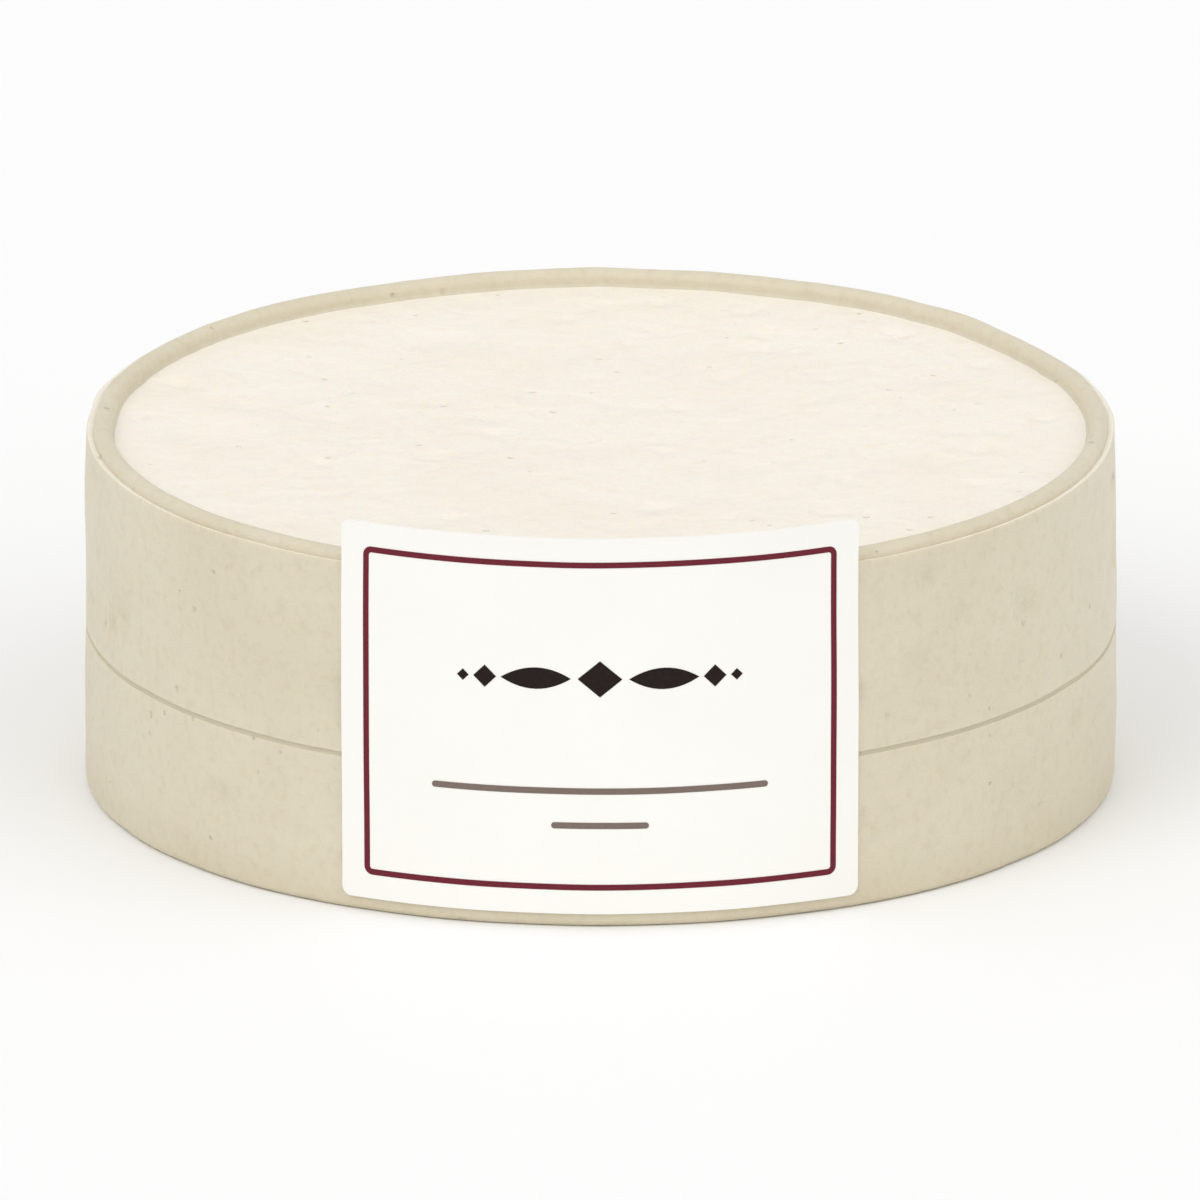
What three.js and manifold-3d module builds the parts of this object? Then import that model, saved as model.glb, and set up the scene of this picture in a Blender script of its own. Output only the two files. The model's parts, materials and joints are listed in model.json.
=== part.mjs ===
// A whole soft goat's milk cheese: a low round drum of rind with a rounded lip round its
// sunk top, a narrow ledge outside the lip, a mould line round its side and a paper label
// bent round its front.
// Sizes are in millimetres. +Z is up, the front faces -Y, and the origin is the centre
// of the underside.
import * as THREE from "three";
import { mergeVertices } from "three/addons/utils/BufferGeometryUtils.js";
import Module from "manifold-3d";

// The drum
const DIAMETER = 120;
const RIM_HEIGHT = 42.1; // the upper edge of the side
const RIM_ROUNDING = 0.1;
const FOOT_ROUNDING = 1;
const SWELL = 0.12; // how far the side swells above and below the mould line

// The mould line, a half round groove
const LINE_HEIGHT = 18.7;
const LINE_WIDTH = 0.6;

// The lip, a half round bead, and the ledge that slopes from the rim in to the lip's foot
const LIP_WIDTH = 2.2;
const LIP_INSET = 0.9; // from the widest part of the drum to the lip
const LEDGE_DROP = 0.25; // from the rim down to the lip's foot

// The top inside the lip
const TOP_DROP = 0.8; // from the rim down to the edge of the top
const TOP_ROUNDING = 0.5; // in the corner under the lip
const TOP_SAG = 0.6; // how much lower the top lies in its middle

// The label
const LABEL_WIDTH = 60; // straight across, seen from the front
const LABEL_LOW = 1.8;
const LABEL_HIGH = 47.7;
const LABEL_CORNER = 1.2;
const PAPER_THICKNESS = 0.35;
const PAPER_GAP = 0.3; // between the paper and the widest part of the drum

// How finely the curves are split
const AROUND = 96;
const WELD = 1e-4;

const wasm = await Module();
wasm.setup();

// A point of an outline, by its distance from the axis and its height
function at(radius, height) {
  return new THREE.Vector2(radius, height);
}

// Points along a circular arc, both ends included, with its angles in degrees
function arc(centre, radius, from, to, steps) {
  const [start, end] = [from, to].map(THREE.MathUtils.degToRad);
  const curve = new THREE.EllipseCurve(centre.x, centre.y, radius, radius, start, end, to < from);
  return curve.getPoints(steps);
}

// Points along a stretch of the side that stands out in its middle
function swollen(low, high, swell, steps) {
  const pull = at(low.x + 2 * swell, (low.y + high.y) / 2);
  return new THREE.QuadraticBezierCurve(low, pull, high).getPoints(steps);
}

// The outline with each point that repeats the one before it left out
function withoutRepeats(points) {
  return points.filter((point, i) => i === 0 || point.distanceTo(points[i - 1]) > WELD);
}

// A lathe turns round Y, and this stands what it made upright on Z, with its seam in front
function upright(geometry) {
  return geometry.rotateX(Math.PI / 2);
}

// The foot, and the side with the mould line in it, up to the rim
function sideOutline() {
  const side = DIAMETER / 2 - SWELL;
  const halfLine = LINE_WIDTH / 2;
  const rim = RIM_HEIGHT - RIM_ROUNDING;
  return [
    ...arc(at(side - FOOT_ROUNDING, FOOT_ROUNDING), FOOT_ROUNDING, -90, 0, 4),
    ...swollen(at(side, FOOT_ROUNDING), at(side, LINE_HEIGHT - halfLine), SWELL, 4),
    ...arc(at(side, LINE_HEIGHT), halfLine, 270, 90, 4),
    ...swollen(at(side, LINE_HEIGHT + halfLine), at(side, rim), SWELL, 4),
    ...arc(at(side - RIM_ROUNDING, rim), RIM_ROUNDING, 0, 90, 2),
  ];
}

// The ledge's inner edge, the lip, and the sunk top from the lip to the axis
function topOutline() {
  const lip = LIP_WIDTH / 2;
  const middle = DIAMETER / 2 - LIP_INSET - lip;
  const edge = middle - lip - TOP_ROUNDING;
  const level = RIM_HEIGHT - TOP_DROP;
  const sagged = level - TOP_SAG;
  const sag = new THREE.QuadraticBezierCurve(at(edge, level), at(edge / 2, sagged), at(0, sagged));
  return [
    at(middle + lip, RIM_HEIGHT - LEDGE_DROP),
    ...arc(at(middle, RIM_HEIGHT), lip, 0, 180, 10),
    ...arc(at(edge, level + TOP_ROUNDING), TOP_ROUNDING, 0, -90, 2),
    ...sag.getPoints(4),
  ];
}

// The whole cheese, one piece, turned about its axis
function cheeseGeometry() {
  const outline = withoutRepeats([at(0, 0), ...sideOutline(), ...topOutline()]);
  return upright(new THREE.LatheGeometry(outline, AROUND));
}

// A tube of paper round the drum, from the table to above the label
function paperTube() {
  const inside = DIAMETER / 2 + PAPER_GAP;
  const outside = inside + PAPER_THICKNESS;
  const height = LABEL_HIGH + LABEL_CORNER;
  const outline = [at(inside, 0), at(outside, 0), at(outside, height), at(inside, height), at(inside, 0)];
  return upright(new THREE.LatheGeometry(outline, AROUND));
}

// The label's outline as the front view shows it, a rectangle with round corners
function labelShape() {
  const x = LABEL_WIDTH / 2 - LABEL_CORNER;
  const low = LABEL_LOW + LABEL_CORNER;
  const high = LABEL_HIGH - LABEL_CORNER;
  const corners = [
    [x, high],
    [-x, high],
    [-x, low],
    [x, low],
  ];
  const quarter = Math.PI / 2;
  const shape = new THREE.Shape();
  corners.forEach(([cx, cy], i) => {
    shape.absarc(cx, cy, LABEL_CORNER, i * quarter, (i + 1) * quarter);
  });
  return shape;
}

// A block with that outline, from the drum's axis out past its front
function labelCutter() {
  const options = { depth: DIAMETER, bevelEnabled: false, curveSegments: 3 };
  return new THREE.ExtrudeGeometry(labelShape(), options).rotateX(Math.PI / 2);
}

// A closed geometry as a solid that can be joined and cut
function solidOf(geometry) {
  const bare = geometry.clone();
  bare.deleteAttribute("normal");
  bare.deleteAttribute("uv");
  const merged = mergeVertices(bare, WELD);
  return new wasm.Manifold(
    new wasm.Mesh({
      numProp: 3,
      vertProperties: merged.attributes.position.array,
      triVerts: merged.index.array,
    }),
  );
}

// A solid back as a geometry, with flat faces
function geometryOf(solid) {
  const { vertProperties, triVerts } = solid.getMesh();
  const welded = new THREE.BufferGeometry();
  welded.setAttribute("position", new THREE.BufferAttribute(vertProperties, 3));
  welded.setIndex(new THREE.BufferAttribute(triVerts, 1));
  const faceted = welded.toNonIndexed();
  faceted.computeVertexNormals();
  return faceted;
}

// The label, which is what the block leaves of the paper tube
function labelGeometry() {
  return geometryOf(solidOf(paperTube()).intersect(solidOf(labelCutter())));
}

// A named piece with its own finish
function piece(name, geometry, finish) {
  const mesh = new THREE.Mesh(geometry, new THREE.MeshStandardMaterial(finish));
  mesh.name = name;
  return mesh;
}

const wheel = new THREE.Group();
wheel.add(
  piece("cheese", cheeseGeometry(), { color: 0xdbd3bc, roughness: 0.75, metalness: 0 }),
  piece("label", labelGeometry(), { color: 0xfcfbf7, roughness: 0.6, metalness: 0 }),
);

export default wheel;
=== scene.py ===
# %% [markdown]
# # A whole soft goat's milk cheese
#
# A small cheese of this kind is a low round drum. Its side is a thin beige rind, its top
# is paler and lies a little lower, inside a rounded lip, and a paper label is glued round
# the front. The solids of the construction come first, as a fixed frame. Every piece
# below is placed and sized from them, so nothing has to be fitted afterwards.

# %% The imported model
import json
import math
import random

import bmesh
import bpy
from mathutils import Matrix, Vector, kdtree, noise

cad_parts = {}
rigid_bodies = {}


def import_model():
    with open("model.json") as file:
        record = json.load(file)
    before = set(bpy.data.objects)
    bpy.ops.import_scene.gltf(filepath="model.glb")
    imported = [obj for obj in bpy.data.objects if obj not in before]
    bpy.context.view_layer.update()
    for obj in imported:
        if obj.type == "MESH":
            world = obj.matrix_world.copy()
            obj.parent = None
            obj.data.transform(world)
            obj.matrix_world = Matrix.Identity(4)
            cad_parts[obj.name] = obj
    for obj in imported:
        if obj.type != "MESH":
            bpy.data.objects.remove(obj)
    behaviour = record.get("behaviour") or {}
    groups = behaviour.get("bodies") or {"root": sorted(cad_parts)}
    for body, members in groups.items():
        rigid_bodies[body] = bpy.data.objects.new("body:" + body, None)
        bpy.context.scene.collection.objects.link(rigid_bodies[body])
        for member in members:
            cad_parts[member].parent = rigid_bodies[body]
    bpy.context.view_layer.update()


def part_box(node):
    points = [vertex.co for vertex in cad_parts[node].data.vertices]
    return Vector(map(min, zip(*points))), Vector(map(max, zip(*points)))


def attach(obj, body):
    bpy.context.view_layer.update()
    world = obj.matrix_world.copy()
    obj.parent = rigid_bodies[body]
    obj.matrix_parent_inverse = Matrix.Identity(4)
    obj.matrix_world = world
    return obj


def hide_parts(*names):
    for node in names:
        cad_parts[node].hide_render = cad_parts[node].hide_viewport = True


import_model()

MM = 0.001

# %% [markdown]
# ## Sizes read from the frame
#
# A lathe profile needs only a few numbers. The widest radius and the top of the lip come
# straight from the box round the cheese's solid, and the label's size from its own box.
# What the boxes can't say, such as the width of the lip, is written once, here, in
# millimetres.

# %% Sizes
cheese_low, cheese_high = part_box("cheese")
paper_low, paper_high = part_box("label")

LIP = 1.1 * MM  # half the width of the lip, and its height above the rim
LEDGE = 0.9 * MM  # from the widest part of the drum to the lip
LEDGE_DROP = 0.25 * MM  # the ledge slopes in to the lip's foot
TOP_DROP = 0.8 * MM
TOP_SAG = 0.6 * MM
SWELL = 0.12 * MM
LINE_HEIGHT = 18.7 * MM
LINE_HALF = 0.3 * MM

RADIUS = cheese_high.x
SIDE = RADIUS - SWELL
RIM = cheese_high.z - LIP
LIP_MIDDLE = RADIUS - LEDGE - LIP
LIP_FOOT = RIM - LEDGE_DROP
TOP_LEVEL = RIM - TOP_DROP
print("radius", RADIUS / MM, "rim", round(RIM / MM, 2), "label top", round(paper_high.z / MM, 2))

# %% [markdown]
# ## The camera
#
# The drum's sides are upright and parallel in the picture and its ellipses are equally
# wide, so the picture has no perspective. An orthographic camera draws it the same way.
# How round the ellipses are gives the angle: their height over their width is the sine
# of the camera's elevation.

# %% The camera
PICTURE = 1200
DRUM_ACROSS = 1032
ELLIPSE_HALF_WIDTH = 516
ELLIPSE_HALF_HEIGHT = 154.8
FOOT_ROW = 773.7
CAMERA_DISTANCE = 0.6

elevation = math.asin(ELLIPSE_HALF_HEIGHT / ELLIPSE_HALF_WIDTH)
per_pixel = 2 * RADIUS / DRUM_ACROSS
aim = Vector((0, 0, (FOOT_ROW - PICTURE / 2) * per_pixel / math.cos(elevation)))
back = Vector((0, -math.cos(elevation), math.sin(elevation)))

camera = bpy.data.objects.new("camera", bpy.data.cameras.new("camera"))
bpy.context.scene.collection.objects.link(camera)
bpy.context.scene.camera = camera
camera.data.type = "ORTHO"
camera.data.ortho_scale = PICTURE * per_pixel
camera.location = aim + CAMERA_DISTANCE * back
camera.rotation_mode = "QUATERNION"
camera.rotation_quaternion = (-back).to_track_quat("-Z", "Y")
print("elevation", round(math.degrees(elevation), 2), "frame in mm", round(camera.data.ortho_scale / MM, 2))

# %% [markdown]
# ## Small helpers for materials
#
# A procedural material is a small network of nodes. One helper adds a node with its
# settings and inputs, and the others are built on it: a sum or another piece of
# arithmetic, a soft step between two limits, and a mixture of two colours. The last one
# makes an empty material and returns its shader.


# %% Material helpers
def node(tree, kind, settings=None, **inputs):
    """Adds a node. An input given as an output socket is linked, and any other value is set."""
    made = tree.nodes.new("ShaderNode" + kind)
    for name, value in (settings or {}).items():
        setattr(made, name, value)
    for name, value in inputs.items():
        key = int(name[1:]) if name[1:].isdigit() else name.replace("_", " ")
        if isinstance(value, bpy.types.NodeSocket):
            tree.links.new(value, made.inputs[key])
        else:
            made.inputs[key].default_value = value
    return made


def math_node(tree, operation, first, second=0.0):
    """A piece of arithmetic, such as a sum."""
    return node(tree, "Math", {"operation": operation}, i0=first, i1=second).outputs[0]


def soft_step(tree, value, low, high):
    """0 below low and 1 above high, or the other way round, with a smooth change between."""
    settings = {"interpolation_type": "SMOOTHSTEP"}
    made = node(tree, "MapRange", settings, Value=value, From_Min=low, From_Max=high)
    return made.outputs["Result"]


def mixed(tree, share, first, second):
    """The first colour where the share is 0, and the second where it is 1."""
    return node(tree, "Mix", {"data_type": "RGBA"}, i0=share, i6=first, i7=second).outputs[2]


def clouds_of(tree, place, size, **inputs):
    """Soft noise from 0 to 1, whose patches are about as wide as size."""
    return node(tree, "TexNoise", Vector=place, Scale=1 / size, **inputs).outputs["Fac"]


def new_material(name):
    """An empty material, its node tree and its shader."""
    material = bpy.data.materials.new(name)
    material.use_nodes = True
    return material, material.node_tree, material.node_tree.nodes["Principled BSDF"]


# %% [markdown]
# ## Colours, and the step from a shape to an object
#
# Colours are easiest to judge as a screen shows them, from 0 to 255, but a shader counts
# light, so each is made linear first. Every shape below ends in the same way: its bmesh
# becomes an object at the origin, shaded smooth except over its sharp edges.


# %% Colours and objects
SHARPEST = math.radians(60)


def linear(red, green, blue):
    """A colour as a screen shows it, 0 to 255, as the linear colour that a shader takes."""
    def one(value):
        value /= 255
        return value / 12.92 if value <= 0.04045 else ((value + 0.055) / 1.055) ** 2.4
    return (one(red), one(green), one(blue), 1.0)


def finished_object(name, shape, materials):
    """The bmesh as an object at the origin, smooth but for its sharp edges, with its materials."""
    mesh = bpy.data.meshes.new(name)
    shape.to_mesh(mesh)
    shape.free()
    for material in materials:
        mesh.materials.append(material)
    mesh.polygons.foreach_set("use_smooth", [True] * len(mesh.polygons))
    mesh.set_sharp_from_angle(angle=SHARPEST)
    piece = bpy.data.objects.new(name, mesh)
    bpy.context.scene.collection.objects.link(piece)
    print(name + ":", len(mesh.polygons), "faces")
    return piece


# %% [markdown]
# ## The outline of the cheese
#
# A drum of cheese is round because its mould is, so its form is one outline turned about
# an axis. The outline could be typed as a list of points, but it is easier to read as a
# walk: straight stretches are an extruded vertex, a round stretch is that vertex spun
# about the middle of its arc, and a rounded corner is a bevelled vertex.


# %% A walk along the outline
def straight_to(shape, vertex, radius, height):
    """Extrudes the last vertex to a new place, and returns it."""
    vertex = bmesh.ops.extrude_vert_indiv(shape, verts=[vertex])["verts"][0]
    vertex.co = (radius, 0, height)
    return vertex


def arc_round(shape, vertex, radius, height, degrees, steps):
    """Spins the last vertex about a point of the outline's plane, and returns where it ends."""
    made = bmesh.ops.spin(
        shape, geom=[vertex], cent=(radius, 0, height), axis=(0, -1, 0),
        angle=math.radians(degrees), steps=steps, use_merge=False, use_duplicate=False,
    )
    return made["geom_last"][0]


def rounded(shape, corners, offset, segments):
    """Rounds corners of an outline or of a flat face."""
    bmesh.ops.bevel(
        shape, geom=corners, offset=offset, offset_type="OFFSET", segments=segments,
        profile=0.5, affect="VERTICES", material=-1,
    )


# %% The outline
FOOT_ROUNDING = 1 * MM
RIM_ROUNDING = 0.12 * MM
LIP_FOOT_ROUNDING = 0.1 * MM
CORNER_ROUNDING = 0.5 * MM

outline = bmesh.new()
start = bmesh.ops.create_vert(outline, co=(0, 0, 0))["vert"][0]
foot = straight_to(outline, start, SIDE, 0)
below_line = straight_to(outline, foot, SIDE, LINE_HEIGHT - LINE_HALF)
above_line = arc_round(outline, below_line, SIDE, LINE_HEIGHT, -180, 8)
rim = straight_to(outline, above_line, SIDE, RIM)
lip_foot = straight_to(outline, rim, LIP_MIDDLE + LIP, LIP_FOOT)
lip_outside = straight_to(outline, lip_foot, LIP_MIDDLE + LIP, RIM)
lip_inside = arc_round(outline, lip_outside, LIP_MIDDLE, RIM, 180, 20)
corner = straight_to(outline, lip_inside, LIP_MIDDLE - LIP, TOP_LEVEL)
centre = straight_to(outline, corner, 0, TOP_LEVEL)

rounded(outline, [foot], FOOT_ROUNDING, 6)
rounded(outline, [rim], RIM_ROUNDING, 4)
rounded(outline, [lip_foot], LIP_FOOT_ROUNDING, 3)
rounded(outline, [corner], CORNER_ROUNDING, 6)
print("outline:", len(outline.verts), "vertices,", len(outline.edges), "edges")

# %% [markdown]
# ## Short stretches
#
# The dents and the unevenness that come later need vertices to move, so the long straight
# stretches are cut into short ones. The underside stays flat and needs few.

# %% Short stretches
FINE = 0.75 * MM
COARSE = 4 * MM

for edge in outline.edges[:]:
    underneath = max(v.co.z for v in edge.verts) < 1e-6
    cuts = math.ceil(edge.calc_length() / (COARSE if underneath else FINE)) - 1
    if cuts > 0:
        bmesh.ops.subdivide_edges(outline, edges=[edge], cuts=cuts)
print("outline in short stretches:", len(outline.edges), "edges")

# %% [markdown]
# ## Where the cream is
#
# The top and the ledge outside the lip are cream, and all the rest is rind. On this clean
# outline that is easy to tell from a point's place, and later it no longer is. So it is
# written down here, in a vertex layer that the turning copies and the finish reads.

# %% Where the cream is
CREAM_LAYER = "cream"
LEVEL = 0.03 * MM  # how close to the top's own level counts as on it
LEDGE_FROM = LIP_MIDDLE + LIP + 0.02 * MM
LEDGE_TO = SIDE - 0.11 * MM

cream_layer = outline.verts.layers.float.new(CREAM_LAYER)
for vertex in outline.verts:
    away, _, height = vertex.co
    on_top = abs(height - TOP_LEVEL) < LEVEL and away < LIP_MIDDLE
    on_ledge = LEDGE_FROM < away < LEDGE_TO and RIM - LIP < height < RIM
    vertex[cream_layer] = float(on_top or on_ledge)
print("cream vertices:", sum(vertex[cream_layer] > 0 for vertex in outline.verts))

# %% [markdown]
# ## Turning the outline into the cheese
#
# The whole outline is spun once about the axis. The first and last copy are merged, and so
# are the copies of the two points on the axis, which closes the mesh. The turns are as
# close together at the side as the cuts are along the outline, so the faces are nearly
# square there.

# %% The turned body
TURNS = 432

body = outline
bmesh.ops.spin(
    body, geom=body.verts[:] + body.edges[:], cent=(0, 0, 0), axis=(0, 0, 1),
    angle=math.tau, steps=TURNS, use_merge=True, use_duplicate=False,
)
bmesh.ops.remove_doubles(body, verts=body.verts[:], dist=1e-6)
bmesh.ops.recalc_face_normals(body, faces=body.faces[:])
print("turned body:", len(body.verts), "vertices,", len(body.faces), "faces")

# %% [markdown]
# ## How the cheese settles
#
# A turned body is too perfect for food. A real cheese settles a little under its own
# weight, so its side swells and its top sags. Both are smooth and go all the way round, so
# they are worked out from a vertex's height or its distance from the axis.


# %% Settling
def swell_at(height):
    """How far the side stands out: two soft swells that meet at the line round the side."""
    low, high = (0, LINE_HEIGHT) if height < LINE_HEIGHT else (LINE_HEIGHT, RIM)
    share = (height - low) / (high - low)
    return SWELL * 4 * share * (1 - share)


for vertex in body.verts:
    place = vertex.co
    radius = math.hypot(place.x, place.y)
    if radius > SIDE - 1 * MM and 0 < place.z < LIP_FOOT:
        place.xy *= 1 + swell_at(place.z) / radius
    if place.z > TOP_LEVEL - 1e-6 and radius < LIP_MIDDLE - LIP:
        place.z -= TOP_SAG * (1 - (radius / (LIP_MIDDLE - LIP)) ** 2)
print("settled: side out by", SWELL / MM, "mm, top down by", TOP_SAG / MM, "mm")

# %% [markdown]
# ## An uneven rind
#
# A rind is never quite even. Soft noise of three sizes says how far each place stands out
# or in, by less than half a millimetre. Every vertex could move along its own normal, but
# that would pinch the fine line and the narrow ledge. So all of a region moves the same
# way: out at the side, up on the top and both ways at the lip, which keeps their section
# whole and leaves the underside flat.

# %% Unevenness
SLOW, SLOW_LIFT = 34 * MM, 0.42
MIDDLE, MIDDLE_LIFT = 10 * MM, 0.16
QUICK, QUICK_LIFT = 3.5 * MM, 0.04
BLEND = 9 * MM  # how wide the change is from one way to the other


def unevenness(place):
    """How far the rind stands out or in at a place. The paper on the rind follows it as well."""
    slow = noise.noise(place / SLOW + Vector((3, 7, 1)))
    middle = noise.noise(place / MIDDLE + Vector((11, 2, 5)))
    return (SLOW_LIFT * slow + MIDDLE_LIFT * middle) * MM


def ramp(value, low, high):
    """0 below low and 1 above high, with a smooth rise between."""
    share = min(1, max(0, (value - low) / (high - low)))
    return share * share * (3 - 2 * share)


def outward(place):
    """The way the rind is pushed: out at the side, up on the top, and both ways at the lip."""
    radius = max(math.hypot(place.x, place.y), MM)
    sideways = ramp(radius, LIP_MIDDLE - BLEND, LIP_MIDDLE - LIP) / radius
    upwards = ramp(place.z, RIM - BLEND, TOP_LEVEL - TOP_SAG - 0.1 * MM)
    return Vector((place.x * sideways, place.y * sideways, upwards))


for vertex in body.verts:
    place = vertex.co
    quick = noise.noise(place / QUICK + Vector((5, 13, 8)))
    vertex.co = place + outward(place) * (unevenness(place) + QUICK_LIFT * MM * quick)
print("uneven body, height in mm:", round(max(v.co.z for v in body.verts) / MM, 2))

# %% [markdown]
# ## Dents
#
# Where curds didn't quite close, the rind has shallow hollows. They are scattered over the
# side and the top, each a bowl with a wobbly edge, pressed straight in as a finger would.
# They are real shape and not only a pattern in the finish, so that they also show at the
# outline. A tree of the vertices finds quickly which ones a dent reaches. The random places
# come from a fixed seed, so that the cheese is the same every time.

# %% Dents
SEED = 12
SIDE_DENTS = 150
TOP_DENTS = 60
BROAD_EVERY = 4
BROAD_REACH, BROAD_DEPTH = (4, 8), (0.2, 0.5)
SMALL_REACH, SMALL_DEPTH = (1.8, 3), (0.3, 0.8)
TOP_SHARE = 0.6  # how deep the top's dents are beside the side's
FROM_EDGE = 3 * MM
WOBBLE = 1.4 * MM

draw = random.Random(SEED)
nearby = kdtree.KDTree(len(body.verts))
for index, vertex in enumerate(body.verts):
    nearby.insert(vertex.co, index)
nearby.balance()
body.verts.ensure_lookup_table()


def dent(place, inward, reach, depth):
    """Presses a shallow bowl into the rind round a place."""
    for _, index, distance in nearby.find_range(place, reach):
        vertex = body.verts[index]
        wobble = 1 + 0.3 * noise.noise(vertex.co / WOBBLE)
        share = min(1, distance / reach * wobble)
        vertex.co += inward * depth * (1 - share * share) ** 2


def random_dent(number, place, inward):
    """Every few dents there is a broad one, and the others are small and deeper for their size."""
    broad = number % BROAD_EVERY == 0
    reach, depth = (BROAD_REACH, BROAD_DEPTH) if broad else (SMALL_REACH, SMALL_DEPTH)
    dent(place, inward, draw.uniform(*reach) * MM, draw.uniform(*depth) * MM)


# %% Dents in the side
for number in range(SIDE_DENTS):
    angle = draw.uniform(0, math.tau)
    side_out = Vector((math.cos(angle), math.sin(angle), 0))
    height = draw.uniform(FROM_EDGE, RIM - FROM_EDGE)
    clear_of_line = ramp(abs(height - LINE_HEIGHT), 2.5 * MM, 4 * MM)
    random_dent(number, SIDE * side_out + Vector((0, 0, height)), -clear_of_line * side_out)
print("dents in the side:", SIDE_DENTS)

# %% Dents in the top
for number in range(TOP_DENTS):
    angle = draw.uniform(0, math.tau)
    away = math.sqrt(draw.uniform(0, 1)) * (LIP_MIDDLE - 4 * MM)
    place = Vector((away * math.cos(angle), away * math.sin(angle), TOP_LEVEL))
    random_dent(number, place, Vector((0, 0, -TOP_SHARE)))
print("dents in the top:", TOP_DENTS)

# %% [markdown]
# ## The rind's two colours
#
# The side and the lip are beige, and the top and the ledge are a paler cream. It is one
# cheese, so this is one material that takes its colour from the layer written on the
# outline. A little noise is added first, so that the two colours meet in a soft, slightly
# wandering edge and not on a compass line.

# %% Cream or rind
rind, tree, shader = new_material("rind")
place = node(tree, "TexCoord").outputs["Object"]
height = node(tree, "SeparateXYZ", i0=place).outputs["Z"]
layer = node(tree, "Attribute", {"attribute_name": CREAM_LAYER}).outputs["Fac"]
wander = clouds_of(tree, place, 5 * MM, Detail=1.0)
cream = soft_step(tree, math_node(tree, "ADD", layer, wander), 0.8, 1.2)
print("the finish reads the layer", CREAM_LAYER)

# %% [markdown]
# Neither colour is quite even. Broad clouds and fine speckles mix in a darker shade of
# each. The rind is a little darker still towards the foot. Along the line, where the mould's
# halves met, the colour is darker too: painted shade in its groove.

# %% The rind's colour
RIND, RIND_DARK = linear(217, 209, 187), linear(207, 197, 171)
CREAM, CREAM_DARK = linear(247, 240, 228), linear(243, 233, 215)
# Painted shade: the line round the side is coloured darker than the rind, as its groove is shaded.
GROOVE_SHADE = linear(208, 200, 177)
LINE_EDGE = 0.12 * MM

cloudy = clouds_of(tree, place, 22 * MM, Detail=2.0)
speckled = clouds_of(tree, place, 1.3 * MM, Detail=3.0, Roughness=0.6)
patches = math_node(tree, "MULTIPLY", soft_step(tree, cloudy, 0.3, 0.75), 0.4)
speckles = math_node(tree, "MULTIPLY", soft_step(tree, speckled, 0.45, 0.8), 0.6)
shade = math_node(tree, "ADD", patches, speckles)
# Darker towards the bottom, over the lowest 7 mm of the side.
foot_tone = math_node(tree, "MULTIPLY", soft_step(tree, height, 7 * MM, 0), 0.5)
rind_colour = mixed(tree, math_node(tree, "ADD", shade, foot_tone), RIND, RIND_DARK)
cream_colour = mixed(tree, shade, CREAM, CREAM_DARK)

# Painted shade along the line's groove, mixed into the rind's colour.
from_line = math_node(tree, "ABSOLUTE", math_node(tree, "SUBTRACT", height, LINE_HEIGHT))
groove_shade_share = soft_step(tree, from_line, LINE_HALF + LINE_EDGE, LINE_HALF - LINE_EDGE)
groove_shaded = mixed(tree, groove_shade_share, rind_colour, GROOVE_SHADE)
tree.links.new(mixed(tree, cream, groove_shaded, cream_colour), shader.inputs["Base Color"])

# %% [markdown]
# ## The rind's grain
#
# The fine relief is too small to be worth vertices, so it is a bump: a fine grain, soft
# folds as a cloth leaves them, and pits. A pit is the middle of a Voronoi cell. Each cell
# draws its own chance and width, so that most cells have none and no two pits are alike.

# %% Relief
GRAIN = 0.09
FOLDS = 0.40
PORES = 0.32

grain = clouds_of(tree, place, 0.6 * MM, Detail=2.0, Roughness=0.6)
folds = clouds_of(tree, place, 5.5 * MM, Detail=1.0, Distortion=0.5)
cells = node(tree, "TexVoronoi", Vector=place, Scale=1 / (2.6 * MM))
width_draw, chance_draw, _ = node(tree, "SeparateColor", i0=cells.outputs["Color"]).outputs

uneven_edge = math_node(tree, "MULTIPLY", grain, 0.16)
from_middle = math_node(tree, "ADD", cells.outputs["Distance"], uneven_edge)
pore_reach = math_node(tree, "ADD", math_node(tree, "MULTIPLY", width_draw, 0.16), 0.12)
pit = soft_step(tree, from_middle, pore_reach, 0.06)
pore = math_node(tree, "MULTIPLY", pit, soft_step(tree, chance_draw, 0.6, 0.9))

grain_height = math_node(tree, "MULTIPLY", grain, GRAIN)
folds_height = math_node(tree, "MULTIPLY", folds, FOLDS)
pores_height = math_node(tree, "MULTIPLY", pore, -PORES)
raised = math_node(tree, "ADD", grain_height, folds_height)
relief = math_node(tree, "ADD", raised, pores_height)
bump = node(tree, "Bump", Strength=1.0, Distance=MM, Height=relief)
tree.links.new(bump.outputs[0], shader.inputs["Normal"])
print("relief in mm: grain", GRAIN, "folds", FOLDS, "pores", PORES)

# %% [markdown]
# ## The rind's sheen
#
# Cheese is moist and a little fatty. It has a soft sheen, duller in some patches, and
# light goes some way into it, which subsurface scattering shows.

# %% Sheen and depth
dull = node(tree, "MapRange", Value=cloudy, To_Min=0.40, To_Max=0.58).outputs["Result"]
tree.links.new(dull, shader.inputs["Roughness"])
shader.inputs["Specular IOR Level"].default_value = 0.45
shader.inputs["Subsurface Weight"].default_value = 0.35
shader.inputs["Subsurface Radius"].default_value = (1.0, 0.8, 0.55)
shader.inputs["Subsurface Scale"].default_value = 0.8 * MM
print("rind material:", len(tree.nodes), "nodes")

# %% The cheese in place
cheese = finished_object("cheese_wheel", body, [rind])
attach(cheese, "root")
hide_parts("cheese")

# %% [markdown]
# ## The paper label
#
# The label is a rectangle of stiff paper with round corners, glued round the front. Flat
# is the easiest way to draw it, so it is made flat first: a rectangle with bevelled
# corners, cut by straight lines so that it can bend. Then it is rolled round the side,
# which keeps every length along the paper as it was. It follows the rind's unevenness,
# and its free edge above the rim leans out a little. What is printed on it is made flat
# and rolled in the same way.


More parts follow.
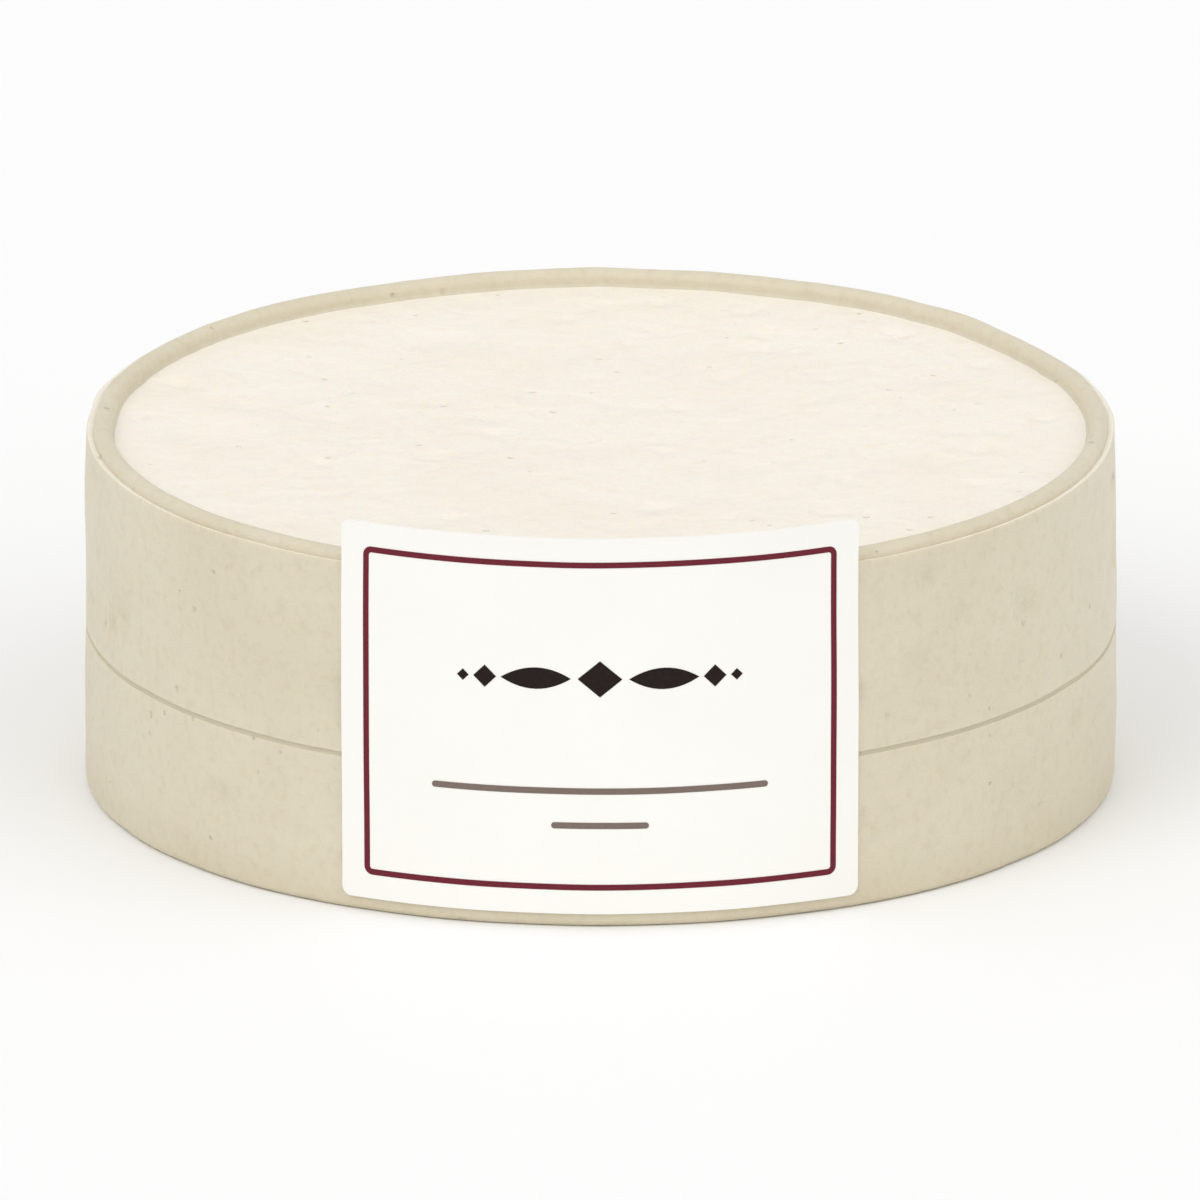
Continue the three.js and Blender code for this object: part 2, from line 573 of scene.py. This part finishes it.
# %% Rolling paper round the drum
PAPER = 0.3 * MM
PAPER_GAP = 0.06 * MM
PAPER_FRONT = RADIUS + PAPER_GAP + PAPER
HALF_ARC = math.asin(paper_high.x / PAPER_FRONT) * PAPER_FRONT
PAPER_MIDDLE = (paper_low.z + paper_high.z) / 2
PAPER_HALF_HEIGHT = (paper_high.z - paper_low.z) / 2
PAPER_CORNER = 1.2 * MM
LEAN = 0.35 * MM
STRIP = 1.0 * MM


def cut_along(shape, axis, reach):
    """Cuts a flat shape by parallel lines, a strip apart, across its x (0) or its y (1)."""
    normal = Vector((1, 0, 0)) if axis == 0 else Vector((0, 1, 0))
    steps = math.floor(reach / STRIP)
    for step in range(-steps, steps + 1):
        everything = shape.verts[:] + shape.edges[:] + shape.faces[:]
        bmesh.ops.bisect_plane(
            shape, geom=everything, dist=1e-7, plane_co=normal * (step + 0.5) * STRIP, plane_no=normal,
        )


def lean(up):
    """How far the paper's free edge, above the rind, leans out."""
    free = max(0, PAPER_MIDDLE + up - RIM) / (paper_high.z - RIM)
    return LEAN * free * free


def rolled(shape, radius):
    """Rolls a flat shape round the drum. Its x becomes the way round and its y the height."""
    for vertex in shape.verts:
        across, up, out = vertex.co
        angle = across / PAPER_FRONT
        front = Vector((math.sin(angle), -math.cos(angle), 0))
        height = Vector((0, 0, PAPER_MIDDLE + up))
        away = radius + unevenness(RADIUS * front + height) + lean(up) + out
        vertex.co = away * front + height


def round_rectangle(shape, half_width, half_height, corner, segments):
    """A flat face with round corners, in its own bmesh."""
    bmesh.ops.create_grid(shape, x_segments=1, y_segments=1, size=1)
    bmesh.ops.scale(shape, verts=shape.verts[:], vec=(half_width, half_height, 1))
    rounded(shape, shape.verts[:], corner, segments)


# %% The sheet
sheet = bmesh.new()
round_rectangle(sheet, HALF_ARC, PAPER_HALF_HEIGHT, PAPER_CORNER, 6)
cut_along(sheet, 0, HALF_ARC)
cut_along(sheet, 1, PAPER_HALF_HEIGHT)
flat_uv = sheet.loops.layers.uv.new("paper")
for face in sheet.faces:
    for loop in face.loops:
        loop[flat_uv].uv = loop.vert.co.xy / MM
rolled(sheet, PAPER_FRONT)
bmesh.ops.recalc_face_normals(sheet, faces=sheet.faces[:])
if sheet.faces[0].normal.y > 0:
    bmesh.ops.reverse_faces(sheet, faces=sheet.faces[:])
bmesh.ops.solidify(sheet, geom=sheet.faces[:], thickness=PAPER)
print("sheet: flat width in mm", round(2 * HALF_ARC / MM, 2), "height", round(2 * PAPER_HALF_HEIGHT / MM, 2))

# %% [markdown]
# ## The paper's finish
#
# The paper is uncoated and just off white. Fine fibres give it a slight tooth, and they
# and a broader cloud shift its tone by a few levels, so that it isn't a flat white.

# %% The paper
paper, tree, shader = new_material("label_paper")
place = node(tree, "TexCoord").outputs["Object"]
fibre_place = node(tree, "Mapping", Vector=place, Scale=(1, 1, 2.5)).outputs[0]
fibres = clouds_of(tree, fibre_place, 0.5 * MM, Detail=6.0, Roughness=0.7)
clouds = clouds_of(tree, place, 9 * MM, Detail=3.0)
tone = math_node(tree, "MULTIPLY", math_node(tree, "ADD", fibres, clouds), 0.5)
paper_colour = mixed(tree, tone, linear(246, 245, 240), linear(241, 239, 233))
tree.links.new(paper_colour, shader.inputs["Base Color"])
paper_bump = node(tree, "Bump", Strength=0.35, Distance=0.03 * MM, Height=fibres)
tree.links.new(paper_bump.outputs[0], shader.inputs["Normal"])
shader.inputs["Roughness"].default_value = 0.72
shader.inputs["Specular IOR Level"].default_value = 0.3

label = finished_object("label_paper", sheet, [paper])
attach(label, "root")
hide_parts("label")

# %% [markdown]
# ## The print
#
# A border with round corners frames the label. In its middle stands an ornament of
# lozenges and tapered bars, and below it two plain rules. Drawn by nodes they would blur
# when the model is exported, so they are thin shapes of ink that stand a hair above the
# paper, as raised print does. Each ink has its own material.


# %% Printed shapes
INK = 0.04 * MM
MAROON, BLACK, GREY_BROWN = range(3)

printed = bmesh.new()


def inked(shape, slot, across=0, up=0):
    """Puts a flat shape in its place on the label, among the others, with its ink."""
    bmesh.ops.translate(shape, verts=shape.verts[:], vec=(across, up, 0))
    for face in shape.faces:
        face.material_index = slot
    scrap = bpy.data.meshes.new("scrap")
    shape.to_mesh(scrap)
    shape.free()
    printed.from_mesh(scrap)
    bpy.data.meshes.remove(scrap)


def border(margin, width, corner):
    """A frame that follows the label's edge."""
    shape = bmesh.new()
    round_rectangle(shape, HALF_ARC - margin, PAPER_HALF_HEIGHT - margin, corner, 6)
    middle = shape.faces[:]
    bmesh.ops.inset_region(
        shape, faces=middle, thickness=width, depth=0, use_boundary=True, use_even_offset=True,
    )
    bmesh.ops.delete(shape, geom=middle, context="FACES")
    return shape


def lozenge(half_width, half_height):
    """A diamond."""
    shape = bmesh.new()
    bmesh.ops.create_circle(shape, cap_ends=True, radius=1, segments=4)
    bmesh.ops.scale(shape, verts=shape.verts[:], vec=(half_width, half_height, 1))
    return shape


def tapered_bar(half_width, half_height):
    """A bar that swells in its middle and ends in two points."""
    shape = bmesh.new()
    bmesh.ops.create_circle(shape, cap_ends=True, radius=1, segments=40)
    for vertex in shape.verts:
        x, y, _ = vertex.co
        vertex.co = (x * half_width, y * abs(y) * half_height, 0)
    return shape


def rule(half_width, half_height):
    """A plain bar with round ends."""
    shape = bmesh.new()
    round_rectangle(shape, half_width, half_height, half_height * 0.98, 5)
    return shape


# %% The printed layer
ORNAMENT_UP = 30.5 * MM - PAPER_MIDDLE
RULES = ((16.8 * MM, 19.9 * MM), (12.6 * MM, 5.7 * MM))  # their heights and half widths
RULE_HALF_HEIGHT = 0.38 * MM

inked(border(2.9 * MM, 0.71 * MM, 1.05 * MM), MAROON)
inked(lozenge(2.6 * MM, 2.2 * MM), BLACK, 0, ORNAMENT_UP)
for side in (-1, 1):
    inked(tapered_bar(4.1 * MM, 1.3 * MM), BLACK, side * 7.5 * MM, ORNAMENT_UP)
    inked(lozenge(1.35 * MM, 1.35 * MM), BLACK, side * 13.5 * MM, ORNAMENT_UP)
    inked(lozenge(0.7 * MM, 0.7 * MM), BLACK, side * 16.1 * MM, ORNAMENT_UP)
for height, half_width in RULES:
    inked(rule(half_width, RULE_HALF_HEIGHT), GREY_BROWN, 0, height - PAPER_MIDDLE)
print("printed shapes, flat:", len(printed.faces), "faces")

# %% [markdown]
# The flat print is cut into the same strips as the paper, so that it bends as the paper
# does and never sinks into it. Half of its thickness lies inside the paper, which leaves
# no gap under the ink.

# %% The print on the paper
cut_along(printed, 0, HALF_ARC)
cut_along(printed, 1, PAPER_HALF_HEIGHT)
rolled(printed, PAPER_FRONT + INK)
bmesh.ops.recalc_face_normals(printed, faces=printed.faces[:])
for face in printed.faces:
    if face.normal.y > 0:
        face.normal_flip()
bmesh.ops.solidify(printed, geom=printed.faces[:], thickness=2 * INK)


# %% The inks
def ink(name, colour, worn):
    """Printing ink: a little uneven, as it sinks into paper."""
    material, tree, shader = new_material(name)
    place = node(tree, "TexCoord").outputs["Object"]
    uneven = clouds_of(tree, place, 0.35 * MM, Detail=5.0, Roughness=0.7)
    share = soft_step(tree, uneven, 0.45, 0.85)
    tree.links.new(mixed(tree, share, colour, worn), shader.inputs["Base Color"])
    bump = node(tree, "Bump", Strength=0.3, Distance=0.02 * MM, Height=uneven)
    tree.links.new(bump.outputs[0], shader.inputs["Normal"])
    shader.inputs["Roughness"].default_value = 0.6
    shader.inputs["Specular IOR Level"].default_value = 0.12
    return material


inks = [
    ink("ink_maroon", linear(106, 36, 48), linear(116, 48, 59)),
    ink("ink_black", linear(33, 24, 22), linear(46, 37, 34)),
    ink("ink_grey_brown", linear(121, 107, 99), linear(132, 119, 111)),
]
label_print = finished_object("label_print", printed, inks)
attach(label_print, "root")

# %% [markdown]
# ## The floor
#
# The picture's ground is plain white, so the floor is a wide pale disc, far wider than the
# camera sees. It isn't part of the cheese.

# %% The floor
FLOOR_RADIUS = 4

floor_shape = bmesh.new()
bmesh.ops.create_circle(floor_shape, cap_ends=True, radius=FLOOR_RADIUS, segments=96)
floor_finish, tree, shader = new_material("floor")
shader.inputs["Base Color"].default_value = (0.96, 0.96, 0.96, 1)
shader.inputs["Roughness"].default_value = 0.6
shader.inputs["Specular IOR Level"].default_value = 0.1
floor = finished_object("floor", floor_shape, [floor_finish])

# %% [markdown]
# ## The light
#
# White light comes from all round, and two large soft suns shape the drum: a key from the
# front left and a weaker fill from the front right. A lamp close by would leave the far
# floor grey, and a sun lights it evenly. The bright floor lights the side from below,
# which keeps the shadows light. Together they light the floor to white, so where the
# camera looks past the floor it sees the surroundings as plain white too. The standard
# view shows the colours as they are.

# %% The light
SURROUNDINGS = 0.77

world = bpy.data.worlds.new("studio")
bpy.context.scene.world = world
world.use_nodes = True
tree = world.node_tree
background = tree.nodes["Background"]
background.inputs["Color"].default_value = (1, 1, 1, 1)
seen_directly = node(tree, "LightPath").outputs["Is Camera Ray"]
missing = math_node(tree, "MULTIPLY", seen_directly, 1 - SURROUNDINGS)
tree.links.new(math_node(tree, "ADD", missing, SURROUNDINGS), background.inputs["Strength"])


def soft_sun(name, shines_along, energy, angle):
    """A sun whose disc is wide, which makes its shadows soft."""
    lamp = bpy.data.lights.new(name, "SUN")
    lamp.energy = energy
    lamp.angle = math.radians(angle)
    holder = bpy.data.objects.new(name, lamp)
    bpy.context.scene.collection.objects.link(holder)
    holder.rotation_mode = "QUATERNION"
    holder.rotation_quaternion = Vector(shines_along).to_track_quat("-Z", "Y")


soft_sun("key", (0.46, 0.56, -0.69), 0.75, 40)
soft_sun("fill", (-0.60, 0.50, -0.62), 0.50, 60)
bpy.context.scene.view_settings.view_transform = "Standard"
